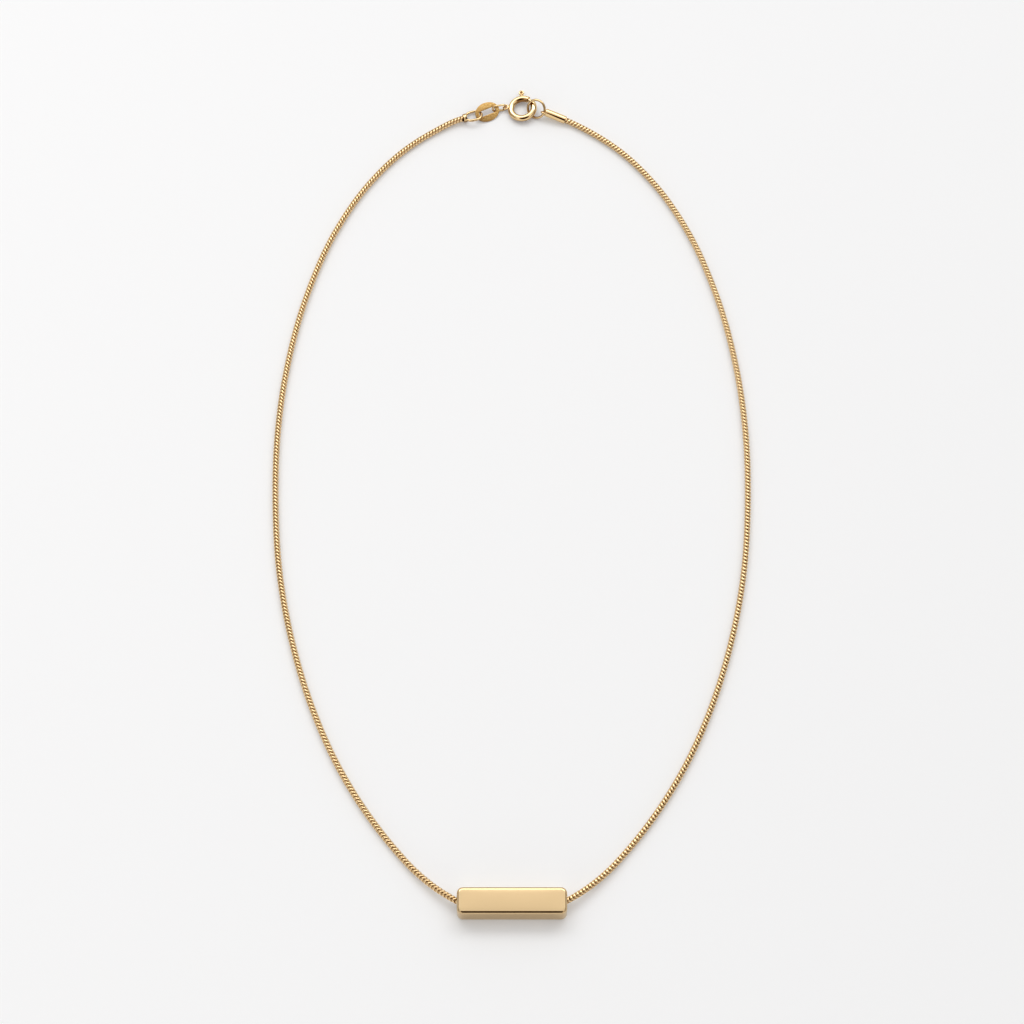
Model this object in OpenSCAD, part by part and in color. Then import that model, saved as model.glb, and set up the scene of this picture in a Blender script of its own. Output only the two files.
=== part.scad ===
// Bar necklace. A plain rounded bar is threaded on one round snake chain, closed by a spring ring.
// It lies flat, +X to the right, +Y from the bar to the clasp, +Z up, in millimetres.
// The origin is on the table, under the middle of the whole necklace.

/* [Bar] */
// Length of the bar, along the chain
bar_l = 21.6; // [16:0.2:21.6]
// Depth of the bar, from its front edge to its back edge
bar_d = 5.4; // [5:0.2:8]
// Height of the bar
bar_h = 4.4; // [4.2:0.1:4.8]
// Corner radius of the bar, seen from above
bar_corner_r = 0.8; // [0.6:0.1:1.2]
// Radius of the bar's long top and bottom edges
bar_edge_r = 0.4; // [0.2:0.05:0.6]
// Diameter of the bore that the chain runs through
bar_bore_d = 2.5; // [2.5:0.05:2.8]

/* [Chain] */
// Outer diameter of the snake chain
chain_d = 1.3; // [1.1:0.05:1.3]

/* [Left end] */
// Diameter of the collar on the chain's left end
collar_d = 1.9; // [1.7:0.05:1.9]
// Length of the collar
collar_l = 0.8; // [0.7:0.05:0.9]
// Wire diameter of the loop soldered to the collar
loop_wire_d = 0.5; // [0.36:0.02:0.5]
// Length of the loop, outside to outside
loop_l = 4.15; // [4.1:0.05:4.25]
// Width of the loop, outside to outside
loop_w = 3.4; // [3:0.1:3.6]

/* [Tag link] */
// Length of the oval tag link
tag_l = 5.6; // [5.4:0.1:6]
// Width of the oval tag link
tag_w = 4.2; // [3.9:0.1:4.3]
// Thickness of the tag link's plate
tag_t = 0.25; // [0.2:0.05:0.3]
// Length of the slot in the tag link
slot_l = 3.75; // [3.7:0.05:3.85]
// Width of the slot in the tag link
slot_w = 1.24; // [1.22:0.02:1.34]

/* [Connecting ring] */
// Wire diameter of the small oval ring between the tag link and the clasp
link_wire_d = 0.4; // [0.34:0.02:0.4]
// Length of the small oval ring, outside to outside
link_l = 3.36; // [3.32:0.02:3.4]
// Width of the small oval ring, outside to outside
link_w = 1.7; // [1.66:0.02:1.74]

/* [Spring ring] */
// Outside diameter of the spring ring
ring_d = 6.5; // [6.45:0.05:6.55]
// Diameter of the spring ring's tube
ring_tube_d = 1.4; // [1.35:0.05:1.4]
// Diameter of the channel inside the tube
ring_channel_d = 1; // [0.96:0.02:1.04]
// Diameter of the bolt's wire
bolt_d = 0.84; // [0.7:0.02:0.84]
// Diameter of the thumb knob
knob_d = 1.3; // [1.1:0.05:1.4]
// Travel of the bolt, in degrees about the ring's middle
bolt_travel = 43; // [30:1:43]
// Wire diameter of the eye soldered to the spring ring
eye_wire_d = 0.35; // [0.3:0.01:0.36]
// Outside diameter of that eye
eye_d = 1.4; // [1.35:0.05:1.45]

/* [Jump ring] */
// Wire diameter of the jump ring
jump_wire_d = 0.48; // [0.4:0.02:0.48]
// Outside diameter of the jump ring
jump_d = 4.48; // [4.44:0.02:4.5]

/* [Right end] */
// Diameter of the long cap on the chain's right end
cap_d = 1.75; // [1.7:0.05:1.8]
// Wire diameter of the cap's eye
cap_eye_wire_d = 0.44; // [0.38:0.02:0.44]
// Outside diameter of the cap's eye
cap_eye_d = 1.56; // [1.52:0.02:1.6]

/* [Hidden] */

// How finely circles are drawn
$fn = 64;

// Gold of the polished pieces, and the paler gold of the bar
gold = [0.86, 0.68, 0.36];
bar_gold = [0.9, 0.75, 0.52];

// How far a cut runs past the face that it opens
past = 1;

// The bar's place on the table, and the height of its bore
bar_y = -93.8;
bore_z = 2.2;

// The left collar's middle, the way its loop points, and the loop's roll about that line
collar_at = [-10.4, 89.1, 0.97];
collar_turn = 16;
loop_roll = -18;
loop_rise = 0.5;
// How deep the loop is sunk into the collar
loop_solder = 0.5;

// The tag link's middle, its turn on the table and its lean towards the bar
tag_at = [-5.46, 90.68, 1];
tag_turn = 25;
tag_lean = 24;
// Radius of the tag link's ends, as a share of half its width, and of its slot's corners
tag_end_share = 0.7;
slot_corner_r = 0.2;

// The connecting ring's middle, its turn, its dip towards the clasp, and its roll
link_at = [-2.78, 91.77, 0.92];
link_turn = 14;
link_dip = 5;
link_roll = 66;

// The spring ring's place, and how far its right side is lifted by the jump ring under it
ring_x = 2.38;
ring_y = 91.56;
ring_lift = 8;

// Angles about the spring ring's middle, counted from its right side
gap_start = 26;
gap_end = 58;
channel_start = 11;
channel_end = 300;
bolt_start = 14;
bolt_end = 108;
knob_angle = 93;
eye_angle = 172;
// How far the soldered eye is raised, and how deep it is sunk into the ring
eye_rise = 0.25;
eye_sink = 0.22;
// The knob's slot: its height, and its spare angle at both ends of the travel
slot_h = 0.64;
slot_spare = 7;
// The knob's middle from the ring's, the radius of its rim, and its web and stem
knob_r = 4.1;
rim_r = 0.28;
web_t = 0.3;
stem_d = 0.5;

// The jump ring's middle, its lean against the spring ring, and the turn of that lean
jump_at = [5.45, 91.05, 1.7];
jump_lean = 46;
jump_turn = -30;

// Where the right cap's eye and its open mouth lie, and the eye's roll about the cap's axis
cap_eye_at = [7.16, 90.01, 1.65];
cap_mouth_at = [11.95, 88.6, 0.9];
cap_eye_roll = -47;
// How far the cap's axis passes behind the middle of its eye
cap_behind = 0.4;
// How deep the eye is sunk into the cap
cap_solder = 0.3;

// How far the chain's ends go into the collar and into the cap
left_seat = 0.25;
right_seat = 2.5;
// Clearance around the chain in both, and behind its ends
seat_gap = 0.06;
end_gap = 0.05;

// Right half of the chain's route, from the middle of the bar up to the clasp: x, y and height
route_half = [
    [0, -94.2, 2],
    [6, -94, 2],
    [10.5, -93.5, 2.1],
    [13, -92, 1.8],
    [19, -87, 1],
    [23, -82.5, 0.7],
    [28, -76, 0.65],
    [35, -64.5, 0.65],
    [40.5, -52, 0.65],
    [45, -37.5, 0.65],
    [48, -22.5, 0.65],
    [49.5, -4.5, 0.65],
    [49.5, 11, 0.65],
    [48, 26.5, 0.65],
    [44, 45, 0.65],
    [38, 61, 0.65],
    [31.5, 72, 0.65],
    [23.5, 81, 0.65],
    [17.5, 85.5, 0.7]
];
// Rings of the chain's tube in each stretch of the route
rings_each = 2;
// Sides of the chain's tube
chain_sides = 8;

ring_line_r = (ring_d - ring_tube_d) / 2;
ring_z = ring_tube_d / 2 + ring_line_r * sin(ring_lift);
cap_axis_at = cap_eye_at + [0, cap_behind, 0];
cap_line = cap_mouth_at - cap_axis_at;
cap_reach = norm(cap_line);
cap_turn = atan2(cap_line.y, cap_line.x);
cap_dip = asin(-cap_line.z / cap_reach);

// A point that is a distance along a line on the table
function along(start, turn, distance) =
    start + distance * [cos(turn), sin(turn), 0];

left_mouth = along(collar_at, collar_turn, -collar_l / 2);
left_end = along(left_mouth, collar_turn, left_seat);
right_end = cap_mouth_at - right_seat * cap_line / cap_reach;

route = concat(
    [left_end, left_mouth],
    [for (i = [len(route_half) - 1:-1:1]) [-route_half[i].x, route_half[i].y, route_half[i].z]],
    route_half,
    [cap_mouth_at, right_end]
);

// The route's direction at one of its points, from the stretches on both sides of it
function heading(i) =
    i == 0 ? unit(route[1] - route[0]) :
    i == len(route) - 1 ? unit(route[i] - route[i - 1]) :
    let (
        back = route[i] - route[i - 1],
        ahead = route[i + 1] - route[i],
        b = norm(back),
        a = norm(ahead)
    )
    (back / b * a + ahead / a * b) / (a + b);

function unit(v) = v / norm(v);

// A point of the smooth curve between two neighbouring points of the route
function curve_point(i, t) =
    let (span = norm(route[i + 1] - route[i]))
    (1 + 2 * t) * (1 - t) * (1 - t) * route[i]
    + t * (1 - t) * (1 - t) * span * heading(i)
    + t * t * (3 - 2 * t) * route[i + 1]
    - t * t * (1 - t) * span * heading(i + 1);

// A point of the route, no lower than a chain that rests on the table
function on_table(p) = [p.x, p.y, max(p.z, chain_d / 2)];

chain_line = concat(
    [for (i = [0:len(route) - 2], k = [0:rings_each - 1]) on_table(curve_point(i, k / rings_each))],
    [route[len(route) - 1]]
);
chain_last = len(chain_line) - 1;
// The two halves of the chain meet in the middle of the bar's bore
chain_middle = rings_each * (len(route_half) + 1);

// One ring of the chain's tube, square to the curve, with a corner straight down
function tube_ring(i) =
    let (
        along_it = unit(chain_line[min(i + 1, chain_last)] - chain_line[max(i - 1, 0)]),
        side = unit(cross(along_it, [0, 0, 1])),
        up = cross(side, along_it)
    )
    [for (k = [0:chain_sides - 1])
        chain_line[i] + chain_d / 2 * (cos(360 * k / chain_sides) * side + sin(360 * k / chain_sides) * up)];

// The chain's tube from one point of its line to another, with flat ends
module chain_tube(from, to) {
    n = chain_sides;
    last = to - from;
    polyhedron(
        points = [for (i = [from:to]) each tube_ring(i)],
        faces = concat(
            [[for (k = [n - 1:-1:0]) k]],
            [[for (k = [0:n - 1]) last * n + k]],
            [for (i = [0:last - 1], k = [0:n - 1])
                [i * n + k, (i + 1) * n + (k + 1) % n, (i + 1) * n + k]],
            [for (i = [0:last - 1], k = [0:n - 1])
                [i * n + k, i * n + (k + 1) % n, (i + 1) * n + (k + 1) % n]]
        )
    );
}

// A rectangle with round corners, about the origin
module rounded_rect(l, w, r) {
    square([l - 2 * r, w], center = true);
    square([l, w - 2 * r], center = true);
    for (x = [-1, 1], y = [-1, 1])
        translate([x * (l / 2 - r), y * (w / 2 - r)])
            circle(r = r);
}

// Part of a round wire ring about the origin, lying in the XY plane
module wire_arc(line_r, wire_r, start = 0, sweep = 360) {
    rotate([0, 0, start])
        rotate_extrude(angle = sweep)
            translate([line_r, 0])
                circle(r = wire_r);
}

// A long wire ring with half-round ends, lying in the XY plane along X
module wire_oval(l, w, wire_d) {
    line_r = (w - wire_d) / 2;
    straight = l - w;
    for (side = [-1, 1]) {
        translate([side * straight / 2, 0, 0])
            wire_arc(line_r, wire_d / 2, side > 0 ? -90 : 90, 180);
        translate([-straight / 2, side * line_r, 0])
            rotate([0, 90, 0])
                cylinder(d = wire_d, h = straight);
    }
}

// The left half of the snake chain, as a plain tube of its outer size
module chain_left() {
    color(gold)
        chain_tube(0, chain_middle);
}

// The right half of the snake chain
module chain_right() {
    color(gold)
        chain_tube(chain_middle, chain_last);
}

// The plain bar, round at all its edges and bored from end to end
module bar() {
    color(bar_gold)
        translate([0, bar_y, 0])
            difference() {
                translate([0, 0, bar_h / 2])
                    intersection() {
                        translate([0, 0, -bar_h / 2])
                            linear_extrude(bar_h)
                                rounded_rect(bar_l, bar_d, bar_corner_r);
                        rotate([90, 0, 0])
                            translate([0, 0, -bar_d / 2])
                                linear_extrude(bar_d)
                                    rounded_rect(bar_l, bar_h, bar_edge_r);
                        rotate([90, 0, 90])
                            translate([0, 0, -bar_l / 2])
                                linear_extrude(bar_l)
                                    rounded_rect(bar_d, bar_h, bar_edge_r);
                    }
                translate([0, 0, bore_z])
                    rotate([0, 90, 0])
                        cylinder(d = bar_bore_d, h = bar_l + 2 * past, center = true);
            }
}

// The collar on the chain's left end, with the wire loop that is soldered into it
module end_loop() {
    color(gold)
        translate(collar_at)
            rotate([0, -loop_rise, collar_turn]) {
                difference() {
                    rotate([0, 90, 0])
                        cylinder(d = collar_d, h = collar_l, center = true);
                    translate([-collar_l / 2 - past, 0, 0])
                        rotate([0, 90, 0])
                            cylinder(d = chain_d + 2 * seat_gap, h = left_seat + end_gap + past);
                }
                translate([collar_l / 2 + loop_l / 2 - loop_solder, 0, 0])
                    rotate([loop_roll, 0, 0])
                        wire_oval(loop_l, loop_w, loop_wire_d);
            }
}

// Outline of the tag link: two end arcs joined by two long arcs that meet them smoothly
module tag_outline() {
    end_r = tag_end_share * tag_w / 2;
    end_x = tag_l / 2 - end_r;
    side_b = tag_w / 2;
    side_r = (end_x * end_x + side_b * side_b - end_r * end_r) / (2 * (side_b - end_r));
    meet_x = end_x * side_r / (side_r - end_r);
    intersection() {
        translate([0, side_b - side_r])
            circle(r = side_r);
        translate([0, side_r - side_b])
            circle(r = side_r);
        square([2 * meet_x, 2 * tag_w], center = true);
    }
    for (side = [-1, 1])
        translate([side * end_x, 0])
            circle(r = end_r);
}

// The bare oval tag link with its long slot
module tag_link() {
    color(gold)
        translate(tag_at)
            rotate([0, 0, tag_turn])
                rotate([tag_lean, 0, 0])
                    translate([0, 0, -tag_t / 2])
                        difference() {
                            linear_extrude(tag_t)
                                tag_outline();
                            translate([0, 0, -past])
                                linear_extrude(tag_t + 2 * past)
                                    rounded_rect(slot_l, slot_w, slot_corner_r);
                        }
}

// The small oval ring that joins the tag link to the spring ring's eye
module connecting_ring() {
    color(gold)
        translate(link_at)
            rotate([0, link_dip, link_turn])
                rotate([link_roll, 0, 0])
                    wire_oval(link_l, link_w, link_wire_d);
}

// Puts a piece of the clasp where the spring ring lies
module at_spring_ring() {
    translate([ring_x, ring_y, ring_z])
        rotate([0, -ring_lift, 0])
            children();
}

// The hollow ring of the clasp, with its gap, the knob's slot and the soldered eye
module spring_ring_case() {
    tube_r = ring_tube_d / 2;
    eye_line_r = (eye_d - eye_wire_d) / 2;
    color(gold)
        at_spring_ring() {
            difference() {
                wire_arc(ring_line_r, tube_r, gap_end, 360 - gap_end + gap_start);
                wire_arc(ring_line_r, ring_channel_d / 2, channel_start, channel_end - channel_start);
                rotate([0, 0, knob_angle - slot_spare])
                    rotate_extrude(angle = bolt_travel + 2 * slot_spare)
                        translate([ring_line_r, -slot_h / 2])
                            square([tube_r + past, slot_h]);
            }
            rotate([0, 0, eye_angle])
                translate([ring_d / 2 + eye_d / 2 - eye_sink, 0, eye_rise])
                    wire_arc(eye_line_r, eye_wire_d / 2);
        }
}

// The curved bolt that closes the gap, with its stem and thumb knob
module spring_ring_bolt() {
    color(gold)
        at_spring_ring() {
            wire_arc(ring_line_r, bolt_d / 2, bolt_start, bolt_end - bolt_start);
            rotate([0, 0, knob_angle]) {
                translate([ring_line_r, 0, 0])
                    rotate([0, 90, 0])
                        cylinder(d = stem_d, h = knob_r - ring_line_r - knob_d / 2 + rim_r);
                translate([knob_r, 0, 0]) {
                    wire_arc(knob_d / 2 - rim_r, rim_r);
                    cylinder(r = knob_d / 2 - rim_r, h = web_t, center = true);
                }
            }
        }
}

// The round wire ring that the clasp closes on
module jump_ring() {
    color(gold)
        translate(jump_at)
            rotate([jump_lean, 0, jump_turn])
                wire_arc((jump_d - jump_wire_d) / 2, jump_wire_d / 2);
}

// The long cap on the chain's right end, with its eye
module end_cap() {
    eye_line_r = (cap_eye_d - cap_eye_wire_d) / 2;
    cap_start = cap_eye_d / 2 - cap_solder;
    color(gold) {
        translate(cap_axis_at)
            rotate([0, cap_dip, cap_turn])
                difference() {
                    translate([cap_start, 0, 0])
                        rotate([0, 90, 0])
                            cylinder(d = cap_d, h = cap_reach - cap_start);
                    translate([cap_reach - right_seat - end_gap, 0, 0])
                        rotate([0, 90, 0])
                            cylinder(d = chain_d + 2 * seat_gap, h = right_seat + end_gap + past);
                }
        translate(cap_eye_at)
            rotate([0, cap_dip, cap_turn])
                rotate([cap_eye_roll, 0, 0])
                    wire_arc(eye_line_r, cap_eye_wire_d / 2);
    }
}

chain_left();
chain_right();
bar();
end_loop();
tag_link();
connecting_ring();
spring_ring_case();
spring_ring_bolt();
jump_ring();
end_cap();
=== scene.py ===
# %% [markdown]
# # A bar necklace, laid flat on a pale table
#
# This file is a lesson in cells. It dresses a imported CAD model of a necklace: a plain rounded gold bar on
# one snake chain, closed by a small spring ring. Each step first says what the piece is on the real
# necklace and how it could be made, and then makes it with the operators that a hand would use.

from math import atan2, cos, degrees, floor, hypot, pi, radians, sin

import bmesh
import bpy
from mathutils import Euler, Matrix, Vector


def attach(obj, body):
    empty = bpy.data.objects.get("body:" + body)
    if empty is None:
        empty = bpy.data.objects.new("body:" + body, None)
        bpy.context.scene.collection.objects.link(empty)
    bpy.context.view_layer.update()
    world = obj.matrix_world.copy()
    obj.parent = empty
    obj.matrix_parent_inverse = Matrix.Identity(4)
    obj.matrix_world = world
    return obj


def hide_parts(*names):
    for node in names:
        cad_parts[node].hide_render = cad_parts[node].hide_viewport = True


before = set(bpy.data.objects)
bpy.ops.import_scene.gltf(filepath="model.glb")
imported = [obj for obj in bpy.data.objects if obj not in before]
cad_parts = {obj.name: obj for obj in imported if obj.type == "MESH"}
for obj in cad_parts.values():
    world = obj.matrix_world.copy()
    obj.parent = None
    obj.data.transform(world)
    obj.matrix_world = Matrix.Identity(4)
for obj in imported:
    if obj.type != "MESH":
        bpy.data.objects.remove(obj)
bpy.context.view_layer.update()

# %% [markdown]
# ## Working in millimetres
#
# The frame is in metres, and a necklace's wires are 0.0004 of those. Blender's merge, bevel and boolean
# tools have tolerances for things the size of furniture, so every piece is modelled with one unit to the
# millimetre and shrunk a thousand times when it is finished. Shrinking is applied to the mesh, so the
# object itself ends at the origin, unturned and unscaled.

# %% Deselect, select by place, and finish a piece
MM = 0.001


def start_clean():
    """Leaves edit mode and deselects all, because an operator acts on everything that is selected."""
    if bpy.context.mode != "OBJECT":
        bpy.ops.object.mode_set(mode="OBJECT")
    bpy.ops.object.select_all(action="DESELECT")


def edit(piece):
    """Opens one piece in edit mode, with nothing else selected."""
    start_clean()
    piece.select_set(True)
    bpy.context.view_layer.objects.active = piece
    bpy.ops.object.mode_set(mode="EDIT")
    bpy.context.tool_settings.mesh_select_mode = (True, False, False)


def pick_points(test):
    """In edit mode, selects the vertices whose place passes a test."""
    bpy.ops.mesh.select_mode(type="VERT")
    bpy.ops.mesh.select_all(action="DESELECT")
    data = bpy.context.object.data
    mesh = bmesh.from_edit_mesh(data)
    for vertex in mesh.verts:
        vertex.select_set(test(vertex.co))
    mesh.select_flush_mode()
    bmesh.update_edit_mesh(data)


def pick_edges(test):
    """In edit mode, selects the edges whose middle and direction pass a test."""
    bpy.ops.mesh.select_mode(type="EDGE")
    bpy.ops.mesh.select_all(action="DESELECT")
    data = bpy.context.object.data
    mesh = bmesh.from_edit_mesh(data)
    for edge in mesh.edges:
        a, b = (v.co for v in edge.verts)
        if test((a + b) / 2, (b - a).normalized()):
            edge.select_set(True)
    mesh.select_flush_mode()
    bmesh.update_edit_mesh(data)


def pick_faces(test):
    """In edit mode, selects the faces whose middle and normal pass a test."""
    bpy.ops.mesh.select_mode(type="FACE")
    bpy.ops.mesh.select_all(action="DESELECT")
    data = bpy.context.object.data
    mesh = bmesh.from_edit_mesh(data)
    for face in mesh.faces:
        if test(face.calc_center_median(), face.normal):
            face.select_set(True)
    mesh.select_flush_mode()
    bmesh.update_edit_mesh(data)


def apply_modifiers(piece):
    """Applies a piece's modifiers in order."""
    start_clean()
    piece.select_set(True)
    bpy.context.view_layer.objects.active = piece
    for modifier in list(piece.modifiers):
        bpy.ops.object.modifier_apply(modifier=modifier.name)


def turn(x=0, y=0, z=0):
    """A rotation by angles in degrees, about X first, then Y, then Z."""
    return Euler((radians(x), radians(y), radians(z))).to_matrix().to_4x4()


def shift(x, y, z):
    """A move, in millimetres."""
    return Matrix.Translation((x, y, z))


def put(piece, place):
    """Moves and turns a piece, and applies that to its mesh."""
    start_clean()
    piece.select_set(True)
    bpy.context.view_layer.objects.active = piece
    piece.matrix_world = place
    bpy.ops.object.transform_apply(location=True, rotation=True, scale=True)


def join(name, *parts):
    """Joins parts that are soldered together into one piece."""
    start_clean()
    for part in parts:
        part.select_set(True)
    bpy.context.view_layer.objects.active = parts[0]
    bpy.ops.object.join()
    parts[0].name = parts[0].data.name = name
    return parts[0]


def finish_piece(piece, material, body, slot, *nodes, angle=40):
    """Shrinks a piece to metres, smooths it, gives it its metal and lets it ride on its body."""
    edit(piece)
    bpy.ops.mesh.select_all(action="SELECT")
    bpy.ops.mesh.normals_make_consistent(inside=False)
    bpy.ops.object.mode_set(mode="OBJECT")
    piece.scale = (MM, MM, MM)
    bpy.ops.object.transform_apply(location=True, rotation=True, scale=True)
    bpy.ops.object.shade_smooth_by_angle(angle=radians(angle))
    piece.data.materials.clear()
    piece.data.materials.append(material)
    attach(piece, body)
    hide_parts(*nodes)
    print(piece.name, "faces:", len(piece.data.polygons),
          "size in mm:", [round(1000 * v, 2) for v in piece.dimensions])


# %% [markdown]
# ## Camera
#
# The view looks down at the table at 64.5 degrees, from two thirds of a metre away, through a short
# telephoto lens. A long lens from a moderate distance keeps the loop's two sides nearly parallel, and the
# chain still gets a little thicker towards the bar, which is nearer.

# %% Make the camera
AIM = Vector((0.00006, -0.00755, 0))
DISTANCE = 0.6506
ELEVATION = radians(64.5)

camera_data = bpy.data.cameras.new("camera")
camera_data.sensor_width = 36
camera_data.lens = 109.23
camera_data.clip_start = 0.01
camera = bpy.data.objects.new("camera", camera_data)
bpy.context.scene.collection.objects.link(camera)
back = Vector((0, -cos(ELEVATION), sin(ELEVATION)))
camera.location = AIM + DISTANCE * back
camera.rotation_euler = back.to_track_quat("Z", "Y").to_euler()
bpy.context.scene.camera = camera
print("camera at", [round(v, 4) for v in camera.location])

# %% [markdown]
# ## Table and light
#
# Polished gold has hardly any colour of its own: it shows what is around it. So the light is planned as a
# room. A soft box hangs behind the necklace, and gives the bright edges and the soft shadow on the near
# side. The walls are pale. The two side walls are dimmer, and each runs into one even tone at its middle,
# where the painted steps would otherwise meet in a fan. Around the camera the room is dark, and that dark
# patch draws the thin lines along the tops of the round wires. The patch has a warm edge, so the lines
# come out brown and not grey. The sky's nodes paint all this by direction.
#
# The table is a matt pale sheet that glows very slightly. That glow is painted fill light, which keeps the
# shadows light. Its tone falls slowly from left to right, which is painted shade for the light falling off
# across the table. The High Contrast look makes the dark lines deeper while the table stays pale.

# %% Lay the table
# painted shade: the table's colour falls from TABLE_LEFT to TABLE_RIGHT, for the light falling off across it
TABLE_LEFT = (0.73, 0.734, 0.739)
TABLE_RIGHT = (0.688, 0.692, 0.697)
TABLE_HALF = 0.12
# painted fill light: the table glows a little, though it is no lamp, so that the shadows on it stay light
TABLE_PAINTED_FILL_GLOW = 0.16

start_clean()
bpy.ops.mesh.primitive_plane_add(size=8, location=(0, 0, 0))
table = bpy.context.object
table.name = "table"
edit(table)
bpy.ops.mesh.subdivide(number_cuts=3)
bpy.ops.object.mode_set(mode="OBJECT")

table_look = bpy.data.materials.new("pale_table")
table_look.use_nodes = True
table_shader = table_look.node_tree.nodes["Principled BSDF"]
table_shader.inputs["Roughness"].default_value = 0.75
table_shader.inputs["Specular IOR Level"].default_value = 0.2
# painted fill light: the table's own glow
table_shader.inputs["Emission Color"].default_value = (1, 1, 1, 1)
table_shader.inputs["Emission Strength"].default_value = TABLE_PAINTED_FILL_GLOW
table_nodes, table_links = table_look.node_tree.nodes, table_look.node_tree.links
table_place = table_nodes.new("ShaderNodeTexCoord")
table_axes = table_nodes.new("ShaderNodeSeparateXYZ")
table_falloff_ramp = table_nodes.new("ShaderNodeMapRange")
table_falloff_ramp.inputs["From Min"].default_value = -TABLE_HALF
table_falloff_ramp.inputs["From Max"].default_value = TABLE_HALF
# the painted falloff of light, mixed into the table's base colour
table_falloff_tint = table_nodes.new("ShaderNodeMix")
table_falloff_tint.data_type = "RGBA"
table_falloff_tint.inputs["A"].default_value = (*TABLE_LEFT, 1)
table_falloff_tint.inputs["B"].default_value = (*TABLE_RIGHT, 1)
table_links.new(table_place.outputs["Object"], table_axes.inputs["Vector"])
table_links.new(table_axes.outputs["X"], table_falloff_ramp.inputs["Value"])
table_links.new(table_falloff_ramp.outputs["Result"], table_falloff_tint.inputs["Factor"])
table_links.new(table_falloff_tint.outputs["Result"], table_shader.inputs["Base Color"])
table.data.materials.append(table_look)
print("table tone from", TABLE_LEFT, "to", TABLE_RIGHT)

# %% Paint the room around it
bpy.context.scene.view_settings.view_transform = "Standard"
bpy.context.scene.view_settings.look = "High Contrast"
world = bpy.data.worlds.new("studio")
bpy.context.scene.world = world
world.use_nodes = True
sky = world.node_tree
sky.nodes.clear()
direction = sky.nodes.new("ShaderNodeTexCoord")


def smooth_step(value, start, end, low, high):
    """A value that goes smoothly from low at start to high at end."""
    steps = sky.nodes.new("ShaderNodeMapRange")
    steps.interpolation_type = "SMOOTHSTEP"
    steps.inputs["From Min"].default_value = start
    steps.inputs["From Max"].default_value = end
    steps.inputs["To Min"].default_value = low
    steps.inputs["To Max"].default_value = high
    sky.links.new(value, steps.inputs["Value"])
    return steps.outputs["Result"]


def how_near(where, start, end, low, high, squeeze=1.0):
    """A value by how near a direction of the sky lies to another: low outside start, high inside end.
    Squeeze makes the patch narrower from left to right."""
    narrow = sky.nodes.new("ShaderNodeVectorMath")
    narrow.operation = "MULTIPLY"
    narrow.inputs[1].default_value = (squeeze, 1, 1)
    sky.links.new(direction.outputs["Generated"], narrow.inputs[0])
    unit = sky.nodes.new("ShaderNodeVectorMath")
    unit.operation = "NORMALIZE"
    sky.links.new(narrow.outputs["Vector"], unit.inputs[0])
    dot = sky.nodes.new("ShaderNodeVectorMath")
    dot.operation = "DOT_PRODUCT"
    dot.inputs[1].default_value = Vector(where).normalized()
    sky.links.new(unit.outputs["Vector"], dot.inputs[0])
    return smooth_step(dot.outputs["Value"], cos(radians(start)), cos(radians(end)), low, high)


def times(a, b):
    """The product of two values."""
    product = sky.nodes.new("ShaderNodeMath")
    product.operation = "MULTIPLY"
    sky.links.new(a, product.inputs[0])
    sky.links.new(b, product.inputs[1])
    return product.outputs["Value"]


axes = sky.nodes.new("ShaderNodeSeparateXYZ")
sky.links.new(direction.outputs["Generated"], axes.inputs["Vector"])
lean = sky.nodes.new("ShaderNodeMath")
lean.operation = "ARCTAN2"
sky.links.new(axes.outputs["Y"], lean.inputs[0])
sky.links.new(axes.outputs["Z"], lean.inputs[1])
sideways = sky.nodes.new("ShaderNodeMath")
sideways.operation = "ABSOLUTE"
sky.links.new(axes.outputs["X"], sideways.inputs[0])
where_up = sky.nodes.new("ShaderNodeMath")
where_up.operation = "MULTIPLY_ADD"
where_up.inputs[1].default_value = 1 / pi
where_up.inputs[2].default_value = 0.5
sky.links.new(lean.outputs["Value"], where_up.inputs[0])
walls = sky.nodes.new("ShaderNodeValToRGB")
WALLS = [(-90, 0.51), (-72, 0.78), (-15, 0.82), (-4, 0.7), (6, 0.7), (27, 0.89), (45, 0.82), (60, 0.72),
         (82, 0.48)]  # degrees from straight up, towards the back of the room, and brightness
for degree, value in WALLS[1:-1]:
    walls.color_ramp.elements.new(degree / 180 + 0.5)
for element, (degree, value) in zip(walls.color_ramp.elements, WALLS):
    element.position = degree / 180 + 0.5
    element.color = (value, value, value, 1)
sky.links.new(where_up.outputs["Value"], walls.inputs["Fac"])
sides = smooth_step(sideways.outputs["Value"], 0.45, 0.95, 1.0, 0.35)
DARK_WAY = (0, -0.67, 0.743)
DARKEST = 0.03
patch = how_near(DARK_WAY, 35, 22, 1.0, DARKEST, squeeze=1.05)
SIDE_TONE = 0.42
SIDE_START, SIDE_FULL = 0.88, 0.97
striped_share = smooth_step(sideways.outputs["Value"], SIDE_START, SIDE_FULL, 1.0, 0.0)
even_part = smooth_step(sideways.outputs["Value"], SIDE_START, SIDE_FULL, 0.0, SIDE_TONE)
evened = sky.nodes.new("ShaderNodeMath")
evened.operation = "ADD"
sky.links.new(times(times(walls.outputs["Color"], sides), striped_share), evened.inputs[0])
sky.links.new(even_part, evened.inputs[1])
strength = times(evened.outputs["Value"], patch)
warm = sky.nodes.new("ShaderNodeMix")
warm.data_type = "RGBA"
warm.inputs["A"].default_value = (1, 0.5, 0.15, 1)
warm.inputs["B"].default_value = (1, 1, 1, 1)
sky.links.new(smooth_step(patch, DARKEST, 0.85, 0.0, 1.0), warm.inputs["Factor"])
air = sky.nodes.new("ShaderNodeBackground")
sky.links.new(warm.outputs["Result"], air.inputs["Color"])
sky.links.new(strength, air.inputs["Strength"])
sky_out = sky.nodes.new("ShaderNodeOutputWorld")
sky.links.new(air.outputs["Background"], sky_out.inputs["Surface"])
print("walls painted in", len(WALLS), "steps")

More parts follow.
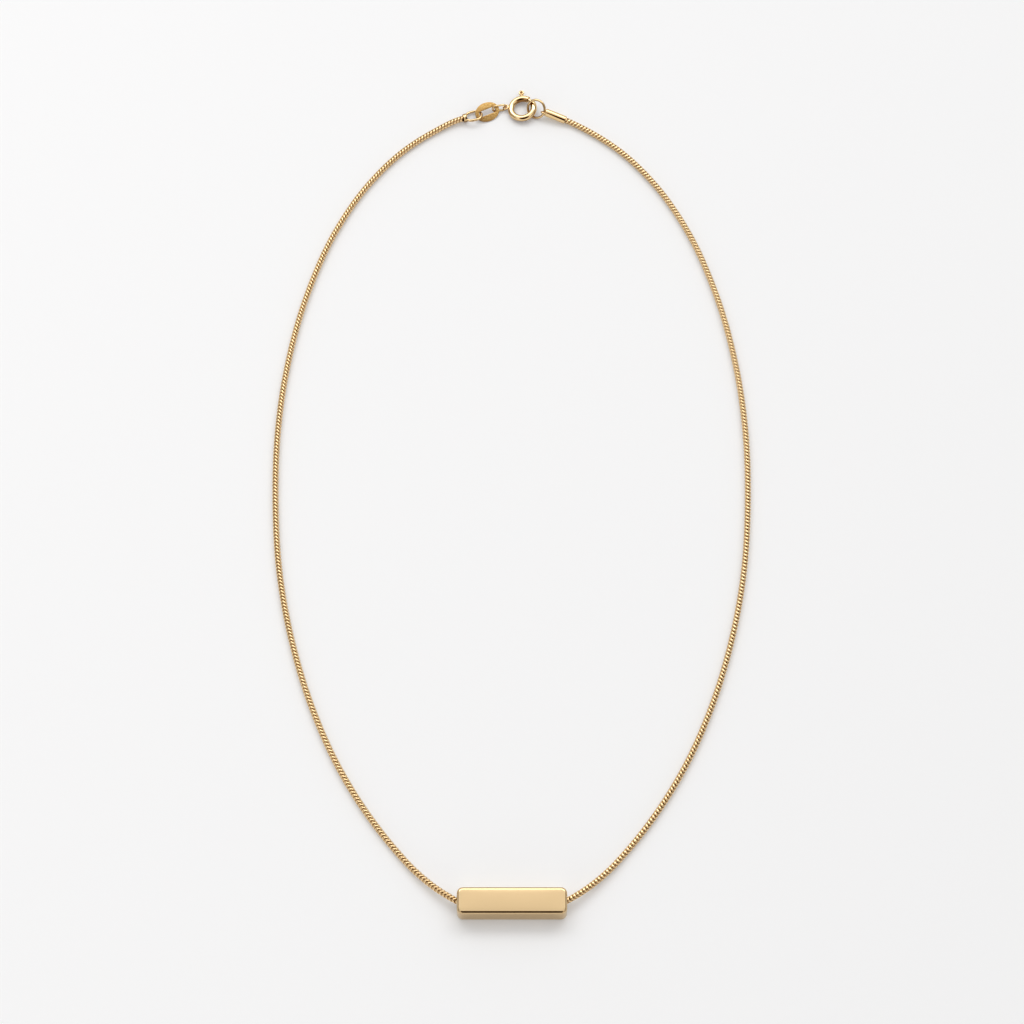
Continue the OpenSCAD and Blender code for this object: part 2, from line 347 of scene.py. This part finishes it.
# %% Hang the soft box
def soft_box(name, elevation, azimuth, distance, width, height, power):
    """An area light that points at the table's middle. Azimuth 180 is behind the necklace."""
    data = bpy.data.lights.new(name, "AREA")
    data.shape = "RECTANGLE"
    data.size, data.size_y = width, height
    data.energy = power
    box = bpy.data.objects.new(name, data)
    bpy.context.scene.collection.objects.link(box)
    e, a = radians(elevation), radians(azimuth)
    out = Vector((sin(a) * cos(e), -cos(a) * cos(e), sin(e)))
    box.location = distance * out
    box.rotation_euler = out.to_track_quat("Z", "Y").to_euler()
    return box


back_box = soft_box("back_box", elevation=54, azimuth=180, distance=1.4, width=2.2, height=0.5, power=4.5)
print("soft box at", [round(v, 2) for v in back_box.location])

# %% [markdown]
# ## Gold
#
# The necklace is one pale yellow gold in four finishes: polished wire, the softer shine of the chain, a
# fine satin on the bar and a rubbed satin on the flat tag link. Real gold is never even. Handling leaves
# hairlines that run all ways, and the polish is a little duller in places. The metal's tone drifts a
# little too, and on the tag link it is mottled. Both effects are wanted on every finish, each in its own
# strength, so they are two node groups that the materials share.
#
# Shade is painted into the gold: the chain's grooves, the knob's dimples, the tag's rim, the clasp's far
# inner wall and the flanks of the wires. How much shade a point takes is kept in the mesh as an attribute,
# and the gold is mixed towards brown by it.

# %% A node group for hairlines and uneven polish
def new_group(name, inputs, outputs):
    """An empty shader node group with named sockets."""
    group = bpy.data.node_groups.new(name, "ShaderNodeTree")
    for label, kind, value in inputs:
        socket = group.interface.new_socket(label, in_out="INPUT", socket_type=kind)
        if value is not None:
            socket.default_value = value
    for label, kind in outputs:
        group.interface.new_socket(label, in_out="OUTPUT", socket_type=kind)
    return group, group.nodes.new("NodeGroupInput"), group.nodes.new("NodeGroupOutput")


polish, polish_in, polish_out = new_group(
    "handled_polish",
    [("Place", "NodeSocketVector", None),
     ("Smooth", "NodeSocketFloat", 0.1),
     ("Dull", "NodeSocketFloat", 0.2),
     ("Patch size", "NodeSocketFloat", 900.0),
     ("Grain size", "NodeSocketFloat", 9000.0)],
    [("Roughness", "NodeSocketFloat"), ("Height", "NodeSocketFloat")])

patches = polish.nodes.new("ShaderNodeTexNoise")
patches.inputs["Detail"].default_value = 4
polish.links.new(polish_in.outputs["Place"], patches.inputs["Vector"])
polish.links.new(polish_in.outputs["Patch size"], patches.inputs["Scale"])
dullness = polish.nodes.new("ShaderNodeMapRange")
dullness.inputs["From Min"].default_value = 0.3
dullness.inputs["From Max"].default_value = 0.7
polish.links.new(patches.outputs["Fac"], dullness.inputs["Value"])
polish.links.new(polish_in.outputs["Smooth"], dullness.inputs["To Min"])
polish.links.new(polish_in.outputs["Dull"], dullness.inputs["To Max"])
polish.links.new(dullness.outputs["Result"], polish_out.inputs["Roughness"])
grain = polish.nodes.new("ShaderNodeTexNoise")
grain.inputs["Detail"].default_value = 3
grain.inputs["Roughness"].default_value = 0.7
polish.links.new(polish_in.outputs["Place"], grain.inputs["Vector"])
polish.links.new(polish_in.outputs["Grain size"], grain.inputs["Scale"])
polish.links.new(grain.outputs["Fac"], polish_out.inputs["Height"])

# %% A node group for the tone of the metal
tone, tone_in, tone_out = new_group(
    "gold_tone",
    [("Place", "NodeSocketVector", None),
     ("Pale", "NodeSocketColor", None),
     ("Deep", "NodeSocketColor", None),
     ("Patch size", "NodeSocketFloat", 300.0)],
    [("Color", "NodeSocketColor")])
clouds = tone.nodes.new("ShaderNodeTexNoise")
clouds.inputs["Detail"].default_value = 3
tone.links.new(tone_in.outputs["Place"], clouds.inputs["Vector"])
tone.links.new(tone_in.outputs["Patch size"], clouds.inputs["Scale"])
mixed = tone.nodes.new("ShaderNodeMix")
mixed.data_type = "RGBA"
tone.links.new(clouds.outputs["Fac"], mixed.inputs["Factor"])
tone.links.new(tone_in.outputs["Pale"], mixed.inputs["A"])
tone.links.new(tone_in.outputs["Deep"], mixed.inputs["B"])
tone.links.new(mixed.outputs["Result"], tone_out.inputs["Color"])


# %% The finishes
# the brown of painted shade, mixed into the gold where shade would fall
PAINTED_SHADE_BROWN = (0.3, 0.15, 0.05)
GRAIN_SIZE = 4000


def gold(name, pale, deep, smooth, dull, grain_depth, tone_size=300):
    """A gold finish. Sizes of patterns are in turns per metre, because Object coordinates are in metres."""
    look = bpy.data.materials.new(name)
    look.use_nodes = True
    nodes, links = look.node_tree.nodes, look.node_tree.links
    shader = nodes["Principled BSDF"]
    shader.inputs["Metallic"].default_value = 1.0
    place = nodes.new("ShaderNodeTexCoord")
    colour = nodes.new("ShaderNodeGroup")
    colour.node_tree = tone
    colour.inputs["Pale"].default_value = (*pale, 1)
    colour.inputs["Deep"].default_value = (*deep, 1)
    colour.inputs["Patch size"].default_value = tone_size
    links.new(place.outputs["Object"], colour.inputs["Place"])
    # painted shade: the gold's colour is mixed towards brown by a per-point attribute
    depth = nodes.new("ShaderNodeAttribute")
    depth.attribute_name = "painted_shade"
    painted_shade_mix = nodes.new("ShaderNodeMix")
    painted_shade_mix.data_type = "RGBA"
    painted_shade_mix.inputs["B"].default_value = (*PAINTED_SHADE_BROWN, 1)
    links.new(depth.outputs["Fac"], painted_shade_mix.inputs["Factor"])
    links.new(colour.outputs["Color"], painted_shade_mix.inputs["A"])
    links.new(painted_shade_mix.outputs["Result"], shader.inputs["Base Color"])
    surface = nodes.new("ShaderNodeGroup")
    surface.node_tree = polish
    surface.inputs["Smooth"].default_value = smooth
    surface.inputs["Dull"].default_value = dull
    surface.inputs["Grain size"].default_value = GRAIN_SIZE
    links.new(place.outputs["Object"], surface.inputs["Place"])
    links.new(surface.outputs["Roughness"], shader.inputs["Roughness"])
    bump = nodes.new("ShaderNodeBump")
    bump.inputs["Distance"].default_value = grain_depth
    bump.inputs["Strength"].default_value = 1.0
    links.new(surface.outputs["Height"], bump.inputs["Height"])
    links.new(bump.outputs["Normal"], shader.inputs["Normal"])
    return look


polished = gold("polished_gold", (0.88, 0.685, 0.43), (0.85, 0.645, 0.375), 0.07, 0.13, 0.0000003)
chain_look = gold("snake_chain_gold", (0.92, 0.71, 0.45), (0.87, 0.655, 0.385), 0.1, 0.17, 0.0000003)
bar_look = gold("satin_bar_gold", (0.71, 0.55, 0.345), (0.69, 0.535, 0.335), 0.14, 0.17, 0.0000012)
tag_look = gold("rubbed_tag_gold", (1, 0.82, 0.44), (0.46, 0.17, 0.0), 0.28, 0.36, 0.00006, tone_size=4200)
print("finishes:", [m.name for m in (polished, chain_look, bar_look, tag_look)])

# %% Paint shade into grooves, rims and the flanks of wires
# painted shade: nearly the way towards the camera; a wire stays bright where it faces this way and takes
# brown elsewhere
UNSHADED_WAY = Vector((0, -0.45, 0.9)).normalized()


def paint_shade(piece, how_shaded):
    """Keeps how much painted shade each point takes, from 0 to 1, for the gold to be darkened there."""
    painted_shade = piece.data.attributes.new("painted_shade", "FLOAT", "POINT")
    for vertex, mark in zip(piece.data.vertices, painted_shade.data):
        mark.value = min(max(how_shaded(vertex.co, vertex.normal), 0), 1)
    print(piece.name, "has darker points:", sum(mark.value > 0.3 for mark in painted_shade.data))


def paint_flank_shade(piece, share):
    """Paints shade on a wire's flanks, by a share of the brown, and leaves the side that faces the camera
    bright.
    """
    paint_shade(piece, lambda co, normal: share * min((0.8 - normal.dot(UNSHADED_WAY)) / 0.4, 1))


# %% [markdown]
# ## The snake chain
#
# A round snake chain is a stack of thin stamped rings. Each ring is wavy, with two waves around it, and a
# narrow skirt on its back edge slips inside the next ring, so the rings nest and the chain bends smoothly.
# One ring could be sculpted, but it is a turned shape first: a circle is extruded from point to point of
# its section, and the last loop is bridged to the first. Then its points are pushed along the chain and
# towards the middle, angle by angle, which gives the waves and the four soft lobes.

# %% Turn a ring out of a circle
def turned(name, section, sides, closed):
    """A shape turned round the X axis, extruded along a section of (x, radius) points.
    A closed section is bridged into a ring, and an open one has its two end holes filled."""
    start_clean()
    x, radius = section[0]
    bpy.ops.mesh.primitive_circle_add(vertices=sides, radius=radius, location=(x, 0, 0),
                                      rotation=(0, pi / 2, 0))
    piece = bpy.context.object
    piece.name = piece.data.name = name
    bpy.ops.object.transform_apply(location=True, rotation=True, scale=True)
    edit(piece)
    bpy.ops.mesh.select_all(action="SELECT")
    for (x0, r0), (x1, r1) in zip(section, section[1:]):
        bpy.ops.mesh.extrude_edges_move(TRANSFORM_OT_translate={"value": (x1 - x0, 0, 0)})
        bpy.ops.transform.resize(value=(1, r1 / r0, r1 / r0), center_override=(0, 0, 0))
    bpy.ops.mesh.select_all(action="DESELECT")
    bpy.ops.mesh.select_non_manifold(extend=False)
    if closed:
        bpy.ops.mesh.bridge_edge_loops()
    else:
        bpy.ops.mesh.select_all(action="SELECT")
        bpy.ops.mesh.fill_holes(sides=0)
    bpy.ops.mesh.select_all(action="SELECT")
    bpy.ops.mesh.normals_make_consistent(inside=False)
    bpy.ops.object.mode_set(mode="OBJECT")
    return piece


LINK_SIDES = 12
LINK_SECTION = [(0.34, 0.47), (0.23, 0.65), (-0.04, 0.69), (-0.27, 0.62), (-0.5, 0.4), (0.1, 0.35)]
link = turned("chain_links", LINK_SECTION, LINK_SIDES, closed=True)
print("one link has", len(link.data.polygons), "faces")

# %% Wave it
WAVE = 0.32
LOBE_DEPTH = 0.06
edit(link)
for side in range(LINK_SIDES):
    angle = 2 * pi * side / LINK_SIDES
    spoke = Vector((0, cos(angle), sin(angle)))
    pick_points(lambda co: Vector((0, co.y, co.z)).normalized().dot(spoke) > 0.99)
    bpy.ops.transform.translate(value=(WAVE * cos(2 * angle), 0, 0))
    share = 1 - LOBE_DEPTH * (1 + cos(4 * angle)) / 2
    bpy.ops.transform.resize(value=(1, share, share), center_override=(0, 0, 0))
bpy.ops.object.mode_set(mode="OBJECT")
print("waved link, mm:", [round(v, 3) for v in link.dimensions])

# %% Paint shade into its groove
# painted shade: the link's faces inside this radius, in the gaps between links, are mixed towards brown
PAINTED_SHADE_R = 0.59
paint_shade(link, lambda co, normal: (PAINTED_SHADE_R - hypot(co.y, co.z)) / 0.1)

# %% [markdown]
# The chain follows the same route as its plain tube in the CAD model: along the table, up into the bar,
# and round to the clasp. The route is given as points, and a smooth curve is run through them.
# An Array modifier repeats the link, and a Curve modifier bends the row along the route. The curve's own
# tilt rolls the chain slowly, so that its grooves lean in some places and make small Vs in others.

# %% The route of the chain, in millimetres
CHAIN_R = 0.69
COLLAR_AT = Vector((-10.4, 89.1, 0.97))
COLLAR_TURN = 16
COLLAR_L = 0.8
LEFT_SEAT = 0.25
RIGHT_SEAT = 2.5
CAP_EYE_AT = Vector((7.16, 90.01, 1.65))
CAP_BEHIND = Vector((0, 0.4, 0))
CAP_MOUTH_AT = Vector((11.95, 88.6, 0.9))
ROUTE_HALF = [
    (0, -94.2, 2), (6, -94, 2), (10.5, -93.5, 2.1), (13, -92, 1.8), (19, -87, 1), (23, -82.5, 0.7),
    (28, -76, 0.65), (35, -64.5, 0.65), (40.5, -52, 0.65), (45, -37.5, 0.65), (48, -22.5, 0.65),
    (49.5, -4.5, 0.65), (49.5, 11, 0.65), (48, 26.5, 0.65), (44, 45, 0.65), (38, 61, 0.65),
    (31.5, 72, 0.65), (23.5, 81, 0.65), (17.5, 85.5, 0.7),
]
collar_way = Vector((cos(radians(COLLAR_TURN)), sin(radians(COLLAR_TURN)), 0))
left_mouth = COLLAR_AT - COLLAR_L / 2 * collar_way
cap_line = CAP_MOUTH_AT - CAP_EYE_AT - CAP_BEHIND
route = [left_mouth + LEFT_SEAT * collar_way, left_mouth]
route += [Vector((-x, y, z)) for x, y, z in reversed(ROUTE_HALF[1:])]
route += [Vector(point) for point in ROUTE_HALF]
route += [CAP_MOUTH_AT, CAP_MOUTH_AT - RIGHT_SEAT * cap_line.normalized()]


def heading(i):
    """The route's direction at one of its points."""
    if i == 0:
        return (route[1] - route[0]).normalized()
    if i == len(route) - 1:
        return (route[i] - route[i - 1]).normalized()
    behind, ahead = route[i] - route[i - 1], route[i + 1] - route[i]
    b, a = behind.length, ahead.length
    return (behind / b * a + ahead / a * b) / (a + b)


def route_point(i, t):
    """A point of the smooth curve between two neighbouring points of the route."""
    span = (route[i + 1] - route[i]).length
    at = ((1 + 2 * t) * (1 - t) ** 2 * route[i] + t * (1 - t) ** 2 * span * heading(i)
          + t * t * (3 - 2 * t) * route[i + 1] - t * t * (1 - t) * span * heading(i + 1))
    at.z = max(at.z, CHAIN_R)
    return at


STEPS = 16
line = [route_point(i, step / STEPS) for i in range(len(route) - 1) for step in range(STEPS)] + [route[-1]]
length = sum((b - a).length for a, b in zip(line, line[1:]))
print("chain length in mm:", round(length, 1))

# %% Draw the route as a curve with a slow roll
ROLLS = [(0.0, 20), (0.12, 50), (0.22, 36), (0.3, 36), (0.38, 58), (0.46, 45), (0.5, 20), (0.54, 0),
         (0.62, 22), (0.72, 10), (0.82, 25), (0.9, 20), (0.95, 0), (1.0, 0)]  # share of length, degrees


def roll_at(share):
    """The chain's roll in degrees, at a share of its length."""
    for (s0, r0), (s1, r1) in zip(ROLLS, ROLLS[1:]):
        if share <= s1:
            t = (share - s0) / (s1 - s0)
            return r0 + (r1 - r0) * t * t * (3 - 2 * t)
    return ROLLS[-1][1]


path_data = bpy.data.curves.new("chain_route", "CURVE")
path_data.dimensions = "3D"
path_data.twist_mode = "Z_UP"
spline = path_data.splines.new("POLY")
spline.points.add(len(line) - 1)
run = 0.0
for i, at in enumerate(line):
    run += (at - line[i - 1]).length if i else 0.0
    spline.points[i].co = (*at, 1)
    spline.points[i].tilt = radians(roll_at(run / length))
path = bpy.data.objects.new("chain_route", path_data)
bpy.context.scene.collection.objects.link(path)

# %% Repeat the link along it
LINK_PITCH = 0.78
FIRST = 0.7
LAST = 0.3
links = floor((length - FIRST - LAST) / LINK_PITCH) + 1
edit(link)
bpy.ops.mesh.select_all(action="SELECT")
bpy.ops.transform.translate(value=(FIRST, 0, 0))
bpy.ops.object.mode_set(mode="OBJECT")
row = link.modifiers.new("row", "ARRAY")
row.count = links
row.use_relative_offset = False
row.use_constant_offset = True
row.constant_offset_displace = (LINK_PITCH, 0, 0)
bend = link.modifiers.new("bend", "CURVE")
bend.object = path
bend.deform_axis = "POS_X"
apply_modifiers(link)
bpy.data.objects.remove(path)
print("links:", links)
finish_piece(link, chain_look, "necklace", "chain_gold", "chain_left", "chain_right", angle=75)

# %% [markdown]
# ## The bar
#
# The bar is a solid block with softly rounded corners and a bore from end to end. Tumbling and polishing
# take a little more off near the edges, so its top isn't quite flat: it is crowned by a twentieth of
# a millimetre. That is too little to see as a shape, but it spreads the reflection of the soft box into
# a slow gradient. A cube is subdivided, bevelled at its corners and then at its outline, and the points
# inside its top are raised a little, the most in the middle. The bore is a boolean with a cylinder, and
# its mouths are eased by a Bevel modifier.

# %% Bevel a block
BAR_AT = Vector((0.05, -93.91, 2.2))
BAR_SIZE = Vector((21.7, 5.54, 4.4))
CORNER_R = 1.2
EDGE_R = 0.62
start_clean()
bpy.ops.mesh.primitive_cube_add(size=1, location=BAR_AT)
bar = bpy.context.object
bar.name = bar.data.name = "polished_bar"
bar.scale = BAR_SIZE
bpy.ops.object.transform_apply(location=True, rotation=True, scale=True)
edit(bar)
pick_edges(lambda middle, way: abs(way.x) > 0.9)
bpy.ops.mesh.subdivide(number_cuts=9)
pick_edges(lambda middle, way: abs(way.y) > 0.9)
bpy.ops.mesh.subdivide(number_cuts=3)
pick_edges(lambda middle, way: abs(way.z) > 0.9 and abs(middle.x) > BAR_SIZE.x / 2 - 0.15
           and abs(middle.y - BAR_AT.y) > BAR_SIZE.y / 2 - 0.15)
bpy.ops.mesh.bevel(offset=CORNER_R, segments=8, affect="EDGES")
pick_faces(lambda middle, normal: abs(normal.z) > 0.9)
bpy.ops.mesh.region_to_loop()
bpy.ops.mesh.bevel(offset=EDGE_R, segments=7, affect="EDGES")

# %% Crown its top
CROWN = 0.05
CROWN_X, CROWN_Y = 10.8, 2.7
for row in (-1.35, 0, 1.35):
    for column in range(-4, 5):
        x = column * BAR_SIZE.x / 10
        lift = CROWN * (1 - (row / CROWN_Y) ** 2) * (1 - (x / CROWN_X) ** 4)
        pick_points(lambda co: co.z > BAR_SIZE.z - 0.1
                    and abs(co.x - x) < 0.1 and abs(co.y - BAR_AT.y - row) < 0.1)
        bpy.ops.transform.translate(value=(0, 0, lift))
bpy.ops.mesh.select_all(action="SELECT")
shrink = BAR_SIZE.z / (BAR_SIZE.z + CROWN)
bpy.ops.transform.resize(value=(1, 1, shrink), center_override=(0, 0, 0))
bpy.ops.object.mode_set(mode="OBJECT")
print("bar height with its crown:", round(bar.dimensions.z, 3))

# %% Bore it
BORE_R = 1.25
start_clean()
bpy.ops.mesh.primitive_cylinder_add(vertices=48, radius=BORE_R, depth=24, location=BAR_AT,
                                    rotation=(0, pi / 2, 0))
drill = bpy.context.object
cut = bar.modifiers.new("bore", "BOOLEAN")
cut.object = drill
cut.operation = "DIFFERENCE"
ease = bar.modifiers.new("ease", "BEVEL")
ease.width = 0.07
ease.segments = 3
ease.limit_method = "ANGLE"
ease.angle_limit = radians(60)
apply_modifiers(bar)
bpy.data.objects.remove(drill)
finish_piece(bar, bar_look, "necklace", "bar_gold", "bar", angle=35)

# %% [markdown]
# ## Wire rings
#
# Every ring of the clasp is round wire. A torus is a ring already, and an oval one is a torus that is
# parted in the middle: the points on each side of it are moved outwards, and the wire between them
# stretches straight.

# %% Round and oval rings of wire
def wire_ring(name, outside, wire, around=64, section=16):
    """A round wire ring about the origin, flat on the XY plane."""
    start_clean()
    bpy.ops.mesh.primitive_torus_add(major_segments=around, minor_segments=section,
                                     major_radius=(outside - wire) / 2, minor_radius=wire / 2)
    ring = bpy.context.object
    ring.name = ring.data.name = name
    return ring


def wire_oval(name, long_side, short_side, wire):
    """An oval wire ring about the origin, long in X."""
    ring = wire_ring(name, short_side, wire)
    part = (long_side - short_side) / 2
    edit(ring)
    for side in (-1, 1):
        pick_points(lambda co: side * co.x > 0.001)
        bpy.ops.transform.translate(value=(side * part, 0, 0))
    bpy.ops.object.mode_set(mode="OBJECT")
    return ring


# %% [markdown]
# ## The left end
#
# A short collar is crimped over the last links, and a wire loop is soldered to it. The collar is turned
# round the chain's line with a shallow groove round its middle, and the loop is an oval ring.

# %% Collar and loop
LOOP_REACH = 1.975
collar = turned("left_loop", [
    (-0.1, 0.71), (-0.36, 0.71), (-0.4, 0.76), (-0.4, 0.88), (-0.34, 0.95), (-0.1, 0.95), (-0.05, 0.91),
    (0.05, 0.91), (0.1, 0.95), (0.3, 0.95), (0.38, 0.88), (0.4, 0.7)], 48, closed=False)
loop = wire_oval("loop", long_side=4.19, short_side=3.44, wire=0.54)
put(loop, shift(LOOP_REACH, 0, 0) @ turn(x=-18))
left_loop = join("left_loop", collar, loop)
put(left_loop, shift(*COLLAR_AT) @ turn(y=-0.5, z=COLLAR_TURN))
# painted shade on the flanks of the loop's wire
paint_flank_shade(left_loop, 0.8)
finish_piece(left_loop, polished, "necklace", "clasp_gold", "end_loop")

# %% [markdown]
# ## The tag link
#
# The flat oval link beside the loop is plain. It is stamped from sheet, so its rim is slightly rounded,
# and it keeps a rubbed satin face. A cylinder is stretched into an oval plate, the slot
# is cut by a boolean with a round-cornered block, and a Bevel modifier eases both rims.

# %% Plate and slot
TAG_AT = (-5.46, 90.68, 1)
TAG_L, TAG_W, TAG_T = 5.6, 4.2, 0.25
SLOT_L, SLOT_W = 3.75, 1.24
start_clean()
bpy.ops.mesh.primitive_cylinder_add(vertices=96, radius=1, depth=TAG_T)
tag = bpy.context.object
tag.name = tag.data.name = "bare_tag"
edit(tag)
bpy.ops.mesh.select_all(action="SELECT")
bpy.ops.transform.resize(value=(TAG_L / 2, TAG_W / 2, 1))
start_clean()
bpy.ops.mesh.primitive_cube_add(size=1, scale=(SLOT_L, SLOT_W, 2))
punch = bpy.context.object
edit(punch)
pick_edges(lambda middle, way: abs(way.z) > 0.9)
bpy.ops.mesh.bevel(offset=0.2, segments=4, affect="EDGES")
start_clean()
cut = tag.modifiers.new("slot", "BOOLEAN")
cut.object = punch
cut.operation = "DIFFERENCE"
ease = tag.modifiers.new("ease", "BEVEL")
ease.width = 0.05
ease.segments = 3
ease.limit_method = "ANGLE"
ease.angle_limit = radians(60)
apply_modifiers(tag)
bpy.data.objects.remove(punch)
# painted shade: faces of the tag that don't face up, its rim, slot walls and underside, are mixed towards
# brown
paint_shade(tag, lambda co, normal: 0.9 if normal.z < 0.6 else 0)
put(tag, shift(*TAG_AT) @ turn(z=25) @ turn(x=24))
finish_piece(tag, tag_look, "necklace", "tag_gold", "tag_link", angle=30)

# %% [markdown]
# ## The connecting ring
#
# A small oval ring stands on edge between the tag link and the clasp's own eye.

# %% Small oval ring
CONNECTING_AT = (-2.78, 91.77, 0.92)
connecting = wire_oval("small_oval_ring", long_side=3.4, short_side=1.74, wire=0.44)
put(connecting, shift(*CONNECTING_AT) @ turn(y=5, z=14) @ turn(x=66))
# painted shade on the flanks of the ring's wire
paint_flank_shade(connecting, 0.8)
finish_piece(connecting, polished, "necklace", "clasp_gold", "connecting_ring")

# %% [markdown]
# ## The spring ring
#
# The clasp is a hollow tube bent into a ring. It has a gap, and a bent wire bolt inside it closes the gap.
# A thumb knob on the bolt runs in a slot on the outside. The case is a torus whose faces are deleted at
# the gap and at the slot, and a Solidify modifier gives what is left a wall. The eye is soldered on.

# %% Case with its gap and slot
RING_OUTSIDE = 6.5
TUBE = 1.4
TUBE_WALL = 0.2
RING_LINE_R = (RING_OUTSIDE - TUBE) / 2
CLASP = shift(2.38, 91.56, 1.05489) @ turn(y=-8)
case = wire_ring("clasp_case", RING_OUTSIDE, TUBE, around=180, section=26)
edit(case)


def ring_angle(at):
    """The angle of a point about the ring's middle, from 0 to 360 degrees."""
    return degrees(atan2(at.y, at.x)) % 360


def far_wall_painted_shade(at, normal):
    """Paints shade on the flanks of the tube, and most of all on its inner wall on the side away from the
    camera.
    """
    outwards = Vector((at.x, at.y, 0)).normalized()
    flank = 0.35 - normal.z
    inner = 0.8 * min((-normal.dot(outwards) - 0.2) / 0.35, 1)
    far = min((46 - abs(ring_angle(at) - 92)) / 20, 1)
    return max(flank, min(inner, far))


pick_faces(lambda middle, normal: 26 < ring_angle(middle) < 58
           or 86 < ring_angle(middle) < 142 and hypot(middle.x, middle.y) > RING_LINE_R
           and abs(middle.z) < 0.32)
bpy.ops.mesh.delete(type="FACE")
bpy.ops.object.mode_set(mode="OBJECT")
wall = case.modifiers.new("wall", "SOLIDIFY")
wall.thickness = TUBE_WALL
wall.offset = -1
ease = case.modifiers.new("ease", "BEVEL")
ease.width = 0.04
ease.segments = 2
ease.limit_method = "ANGLE"
ease.angle_limit = radians(60)
apply_modifiers(case)
EYE_REACH = 3.73
eye = wire_ring("eye", outside=1.4, wire=0.35, around=40, section=14)
put(eye, turn(z=172) @ shift(EYE_REACH, 0, 0.25))
case = join("clasp_case", case, eye)
# painted shade on the case's flanks and its far inner wall
paint_shade(case, far_wall_painted_shade)
put(case, CLASP)
finish_piece(case, polished, "necklace", "clasp_gold", "spring_ring_case")

# %% [markdown]
# The bolt is an arc of wire inside the tube. It is cut from a torus too: the faces outside its angles go,
# and the two holes are filled. The stem is turned, with a small shoulder under the knob. The knob is
# turned too, as a disc with a dimple on both sides. The dimples take painted shade, and so the knob shows
# two bright dots with a dark one between.

# %% Bolt, stem and knob
BOLT_WIRE = 0.84
STEM_ANGLE = 93
KNOB_REACH = 4.1
bolt = wire_ring("clasp_bolt", 2 * RING_LINE_R + BOLT_WIRE, BOLT_WIRE, around=180, section=16)
edit(bolt)
pick_faces(lambda middle, normal: not 14 < ring_angle(middle) < 108)
bpy.ops.mesh.delete(type="FACE")
bpy.ops.mesh.select_all(action="SELECT")
bpy.ops.mesh.fill_holes(sides=0)
bpy.ops.object.mode_set(mode="OBJECT")
stem = turned("stem", [(2.55, 0.25), (3.3, 0.25), (3.38, 0.32), (3.48, 0.34), (3.58, 0.28), (3.7, 0.25)],
              24, closed=False)
HALF_KNOB = [(0.03, 0.02), (0.05, 0.16), (0.18, 0.24), (0.27, 0.37), (0.26, 0.5), (0.17, 0.6), (0, 0.65)]
knob = turned("knob", [(-x, r) for x, r in HALF_KNOB] + HALF_KNOB[-2::-1], 32, closed=False)
# painted shade in the dimples of the knob
paint_shade(knob, lambda co, normal: (0.3 - hypot(co.y, co.z)) / 0.1)
put(knob, shift(KNOB_REACH, 0, 0) @ turn(y=90))
knob = join("knob", stem, knob)
put(knob, turn(z=STEM_ANGLE))
bolt = join("clasp_bolt", bolt, knob)
put(bolt, CLASP)
finish_piece(bolt, polished, "bolt", "clasp_gold", "spring_ring_bolt")

# %% [markdown]
# ## The jump ring and the right cap
#
# The clasp closes on a plain round jump ring. It hangs in the eye of a long cap, which is glued over the
# chain's right end. The cap is turned, with a rounded shoulder and a thin lip at its mouth.

# %% Jump ring
JUMP_AT = (5.45, 91.05, 1.7)
jump = wire_ring("round_jump_ring", outside=4.52, wire=0.52, around=80, section=16)
put(jump, shift(*JUMP_AT) @ turn(x=46, z=-30))
# painted shade on the flanks of the jump ring's wire
paint_flank_shade(jump, 0.9)
finish_piece(jump, polished, "necklace", "clasp_gold", "jump_ring")

# %% Cap and its eye
reach = cap_line.length
cap_turn = degrees(atan2(cap_line.y, cap_line.x))
cap_dip = degrees(atan2(-cap_line.z, hypot(cap_line.x, cap_line.y)))
cap = turned("right_cap", [
    (0.3, 0.5), (0.34, 0.72), (0.46, 0.83), (0.62, 0.87), (reach - 0.34, 0.87), (reach - 0.28, 0.875),
    (reach - 0.06, 0.875), (reach, 0.84), (reach, 0.74), (reach - 0.04, 0.71), (reach - 2.55, 0.71)],
    48, closed=False)
put(cap, shift(*(CAP_EYE_AT + CAP_BEHIND)) @ turn(y=cap_dip, z=cap_turn))
cap_eye = wire_ring("cap_eye", outside=1.56, wire=0.44, around=40, section=14)
put(cap_eye, shift(*CAP_EYE_AT) @ turn(y=cap_dip, z=cap_turn) @ turn(x=-47))
# painted shade on the flanks of the eye's wire
paint_flank_shade(cap_eye, 0.8)
cap = join("right_cap", cap, cap_eye)
finish_piece(cap, polished, "necklace", "clasp_gold", "end_cap")
